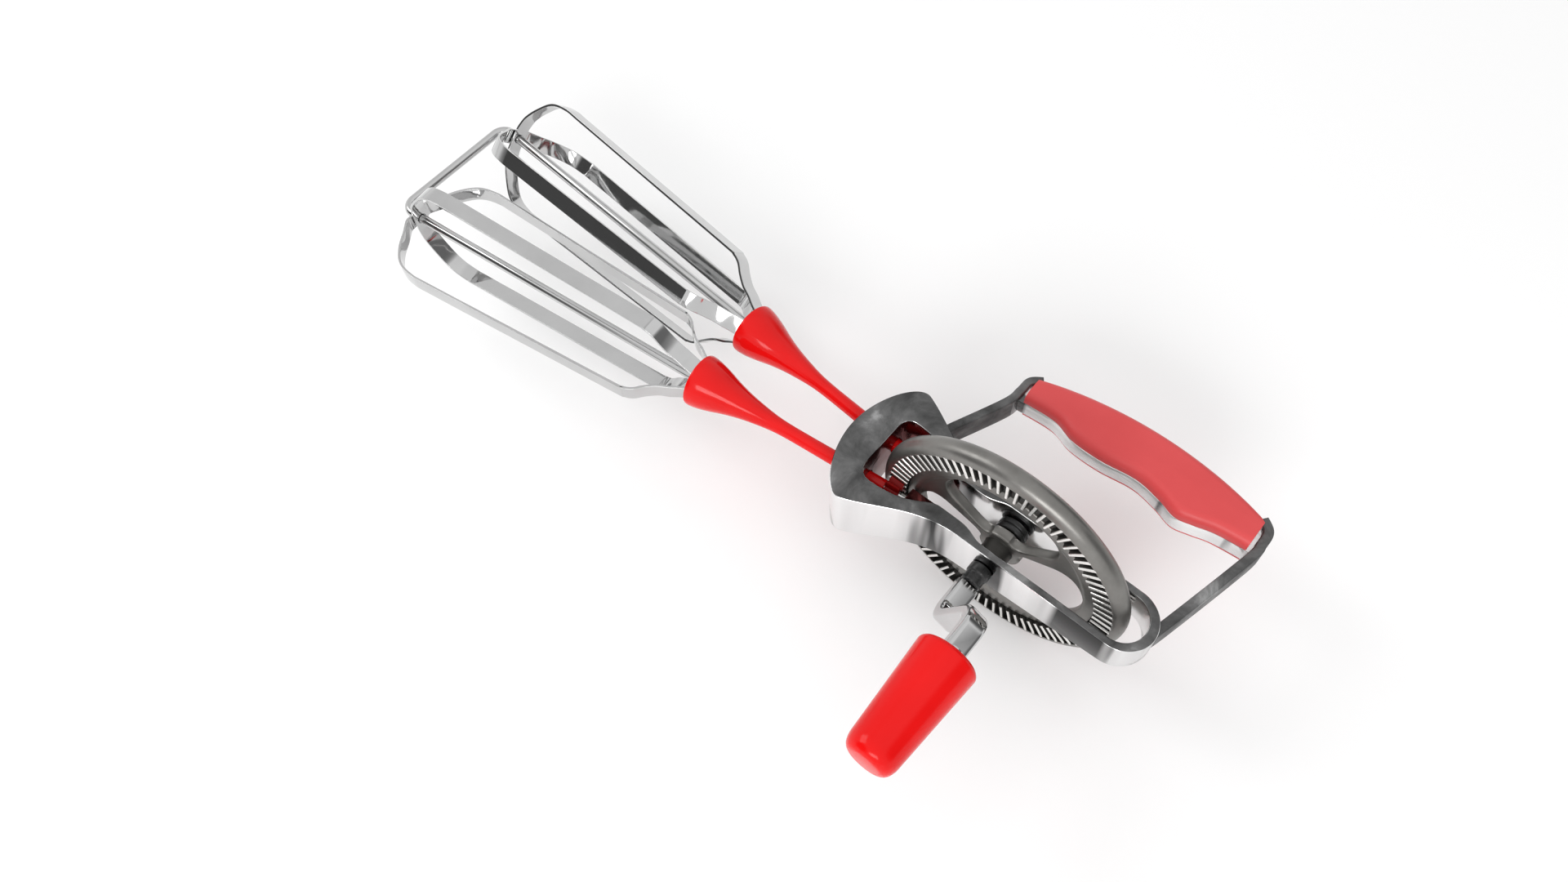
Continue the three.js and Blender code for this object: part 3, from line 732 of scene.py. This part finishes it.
def build_knob():
    """A cone with a round shoulder at the crank and a domed end, hollow for the spindle."""
    bore, bore_end = SPINDLE_R + GAP, 78.3
    k0, k1, r0, r1 = 47.5, 85.3, 9.7, 7.9
    base = [(bore, k0), (r0 - 1.0, k0), (r0, k0 + 1.2), (r1, k1 - 3.4)]
    dome = bezier([(r1 + 0.14, k1 - 5.6), (r1, k1 - 0.3), (r1 - 3.2, k1)], 14, skip_first=False)
    inside = [(0, k1), (0, bore_end), (bore, bore_end), (bore, k0)]
    knob = lathe("knob", fillet(base, 1.1, 6)[:-1] + dome + inside, 72)
    moved(knob, Matrix.Translation((ARM_X, 0, ARM_Z)))
    place(knob, "knob", "knob", "crank_knob", [KNOB], smooth=30)


# ---- beaters -------------------------------------------------------------------------------
BEATERS = [("left", 1, 0), ("right", -1, 45)]  # label, side, degrees that the blades are turned
BLADE_TIP, INNER_NEST = 241.5, 1.35  # the outer loop's end, and how far the inner loop stays within it
BLADE_THICK, BLADE_WIDE = 0.9, 5.8


def build_rod():
    """The U rod: two legs on the beaters' axes, joined past the blades."""
    start, end = 25, 248

    def leg(x):
        return OFFSET + x * math.tan(TILT)
    corners = [(start, leg(start), 0), (end, leg(end), 0), (end, -leg(end), 0), (start, -leg(start), 0)]
    rod_line = bent_line(corners, 4.5, 16)
    u_rod = rod("rod", rod_line, round_section(ROD_R, 40), (0, 0, 1))
    place(u_rod, "u_rod", "frame", "beater_rod", [CHROME])


def build_sleeve(side, label):
    bore, mouth = ROD_R + GAP, 107.0
    flare = spline([(2.4, 68), (2.42, 76), (2.7, 82), (3.5, 88), (4.6, 94), (6.0, 99.5), (7.6, 104.5),
                    (8.7, 108.6), (9.15, 111.2), (9.2, 112.6)], 48)
    neck = [(bore, 39.9), (2.3, 39.9), (NECK_R, 40.1), (NECK_R, 60)]
    lip = [(9.1, 112.9), (8.9, 113.0), (7.95, 113.0), (7.8, 112.8)]
    inside = [(7.8, mouth), (bore, mouth), (bore, 39.9)]
    sleeve = moved(lathe("sleeve", neck + flare + lip + inside, 72, "X"), on_axis(side))
    place(sleeve, f"sleeve_fine_{label}", f"beater_{label}", f"sleeve_{label}",
          [SLEEVE], smooth=30)


def build_pinion(side, label):
    """A conical gear. Its outline is drawn at the wheel's pitch radius and scaled along its axis."""
    pitch = PITCH_R * PINION_TEETH / TEETH
    root, tip = pitch - 0.95, pitch + 0.75
    flank = [(root, 0.8), (root + 0.3, 0.72), (pitch, 0.6), (tip - 0.2, 0.42), (tip, 0.25)]
    tooth = [(r, -across) for r, across in flank] + flank[::-1]
    loop = []
    for i in range(PINION_TEETH):
        for r, across in tooth:
            a = 2 * math.pi * i / PINION_TEETH + math.asin(across / r)
            loop.append((r * math.cos(a), r * math.sin(a)))
    rings = []
    for x, ease in ((34.6, 0.94), (34.85, 1.0), (39.35, 1.0), (39.6, 0.94)):
        rings.append([(x, v * ease * x / PITCH_R, -u * ease * x / PITCH_R) for u, v in loop])
    gear = carve(stacked("gear", rings), [cylinder(ROD_R + GAP, 33, 41, "X")])
    moved(gear, on_axis(side))
    place(gear, f"pinion_fine_{label}", f"beater_{label}", f"pinion_{label}", [PINION_PAINTED_SHADE])


def build_blade(side, label, which, nest, phase):
    """A loop of strip from the sleeve's mouth to the tip, where the rod runs through it, and back."""
    tip, narrow = BLADE_TIP - nest, nest * 0.75
    half = [(107.4, 6.2), (112.6, 6.3), (115.6, 7.4), (118.6, 9.2), (122.2, 10.9), (125.6, 13.6),
            (128.4, 16.4), (131.6, 17.8), (136.0, 18.25), (176.0, 20.25 - narrow / 2),
            (214.0, 22.2 - narrow), (223.0, 22.4 - narrow), (229.8, 20.6 - narrow),
            (235.0, 15.6 - narrow), (238.6, 9.5), (tip - 0.25, 5.4), (tip, 3.6)]
    line = spline(half, 128)
    line = line + [(tip, 0)] + [(x, -y) for x, y in line[::-1]]
    strip = rod("strip", headed(clean(line)), bar_section(BLADE_THICK, BLADE_WIDE, 0.16), (0, 0, 1))
    carve(strip, [cylinder(ROD_R + GAP, tip - 4, tip + 4, "X")])
    moved(strip, on_axis(side) @ Matrix.Rotation(math.radians(phase), 4, "X"))
    place(strip, f"blade_{which}_fine_{label}", f"beater_{label}", f"blade_{which}_{label}",
          [CHROME], smooth=24)


build_frame()
build_handle()
build_wheel()
build_axle()
build_crank()
build_knob()
build_rod()
for label, side, phase in BEATERS:
    build_sleeve(side, label)
    build_pinion(side, label)
    build_blade(side, label, "outer", 0.0, phase)
    build_blade(side, label, "inner", INNER_NEST, phase + 90)


# ---- stage, light and camera ---------------------------------------------------------------
def plain_floor():
    pale = 0.96
    bpy.ops.mesh.primitive_plane_add(size=12, location=(0, 0, 0))
    floor = bpy.context.object
    floor.name = "floor"
    material = bpy.data.materials.new("pale_floor")
    material.use_nodes = True
    shader = material.node_tree.nodes["Principled BSDF"]
    shader.inputs["Base Color"].default_value = (pale, pale, pale, 1)
    shader.inputs["Roughness"].default_value = 0.9
    floor.data.materials.append(material)


LAMP_AIM = (0, 0, 0.04)
LAMPS = [
    # Name, place in metres, size, watts.
    ("key", (-0.5, 1.25, 0.9), (0.9, 0.5), 9.5),
    ("fill", (0.9, 0.3, 0.9), (0.6, 0.6), 3),
]


def area_light(name, at, size, power):
    data = bpy.data.lights.new(name, "AREA")
    data.shape = "RECTANGLE"
    data.size, data.size_y = size
    data.energy = power
    lamp = bpy.data.objects.new(name, data)
    bpy.context.scene.collection.objects.link(lamp)
    lamp.location = at
    lamp.rotation_euler = (Vector(LAMP_AIM) - Vector(at)).to_track_quat("-Z", "Y").to_euler()


ROOM = 0.96  # the room's brightness
PATCHES = [
    # What the polished metal mirrors: direction, half angles of full and no effect, brightness.
    ((0.575, 0.738, 0.354), 16, 30, 0.09),
    ((0.57, -0.5, 0.6), 24, 36, 0.84),
    ((-0.9, -0.3, 0.3), 12, 34, 0.2),
    ((-0.3, -0.9, 0.25), 10, 26, 0.12),
]


def studio():
    """A bright room with darker patches, and two lamps."""
    world = bpy.data.worlds.new("studio")
    bpy.context.scene.world = world
    world.use_nodes = True
    tree = world.node_tree
    back = tree.nodes["Background"]
    heading = tree.nodes.new("ShaderNodeTexCoord").outputs["Generated"]
    level = None
    for direction, inner, outer, value in PATCHES:
        dot = tree.nodes.new("ShaderNodeVectorMath")
        dot.operation = "DOT_PRODUCT"
        dot.inputs[1].default_value = Vector(direction).normalized()
        tree.links.new(heading, dot.inputs[0])
        span = tree.nodes.new("ShaderNodeMapRange")
        span.interpolation_type = "SMOOTHSTEP"
        span.inputs["From Min"].default_value = math.cos(math.radians(outer))
        span.inputs["From Max"].default_value = math.cos(math.radians(inner))
        span.inputs["To Min"].default_value = 0.0
        span.inputs["To Max"].default_value = 1.0
        tree.links.new(dot.outputs["Value"], span.inputs["Value"])
        mix = tree.nodes.new("ShaderNodeMix")
        mix.data_type = "FLOAT"
        mix.inputs["B"].default_value = value
        if level:
            tree.links.new(level, mix.inputs["A"])
        else:
            mix.inputs["A"].default_value = ROOM
        tree.links.new(span.outputs["Result"], mix.inputs["Factor"])
        level = mix.outputs["Result"]
    tree.links.new(level, back.inputs["Color"])
    back.inputs["Strength"].default_value = 1.0
    for lamp in LAMPS:
        area_light(*lamp)


EYE = (-0.15341, 0.14590, 0.38722)  # metres
AIM = (-0.01797, 0.00118, 0.044)
ROLL = -3.734  # degrees
LENS, SENSOR = 28.16, 36


def camera():
    """The photograph's viewing angle."""
    data = bpy.data.cameras.new("camera")
    data.sensor_fit = "HORIZONTAL"
    data.sensor_width = SENSOR
    data.lens = LENS
    data.clip_start = 0.01
    eye = bpy.data.objects.new("camera", data)
    bpy.context.scene.collection.objects.link(eye)
    turn = (Vector(AIM) - Vector(EYE)).to_track_quat("-Z", "Y").to_matrix().to_4x4()
    roll = Matrix.Rotation(math.radians(ROLL), 4, "Z")
    eye.matrix_world = Matrix.Translation(EYE) @ turn @ roll
    bpy.context.scene.camera = eye


plain_floor()
studio()
camera()
bpy.context.scene.view_settings.view_transform = "Standard"
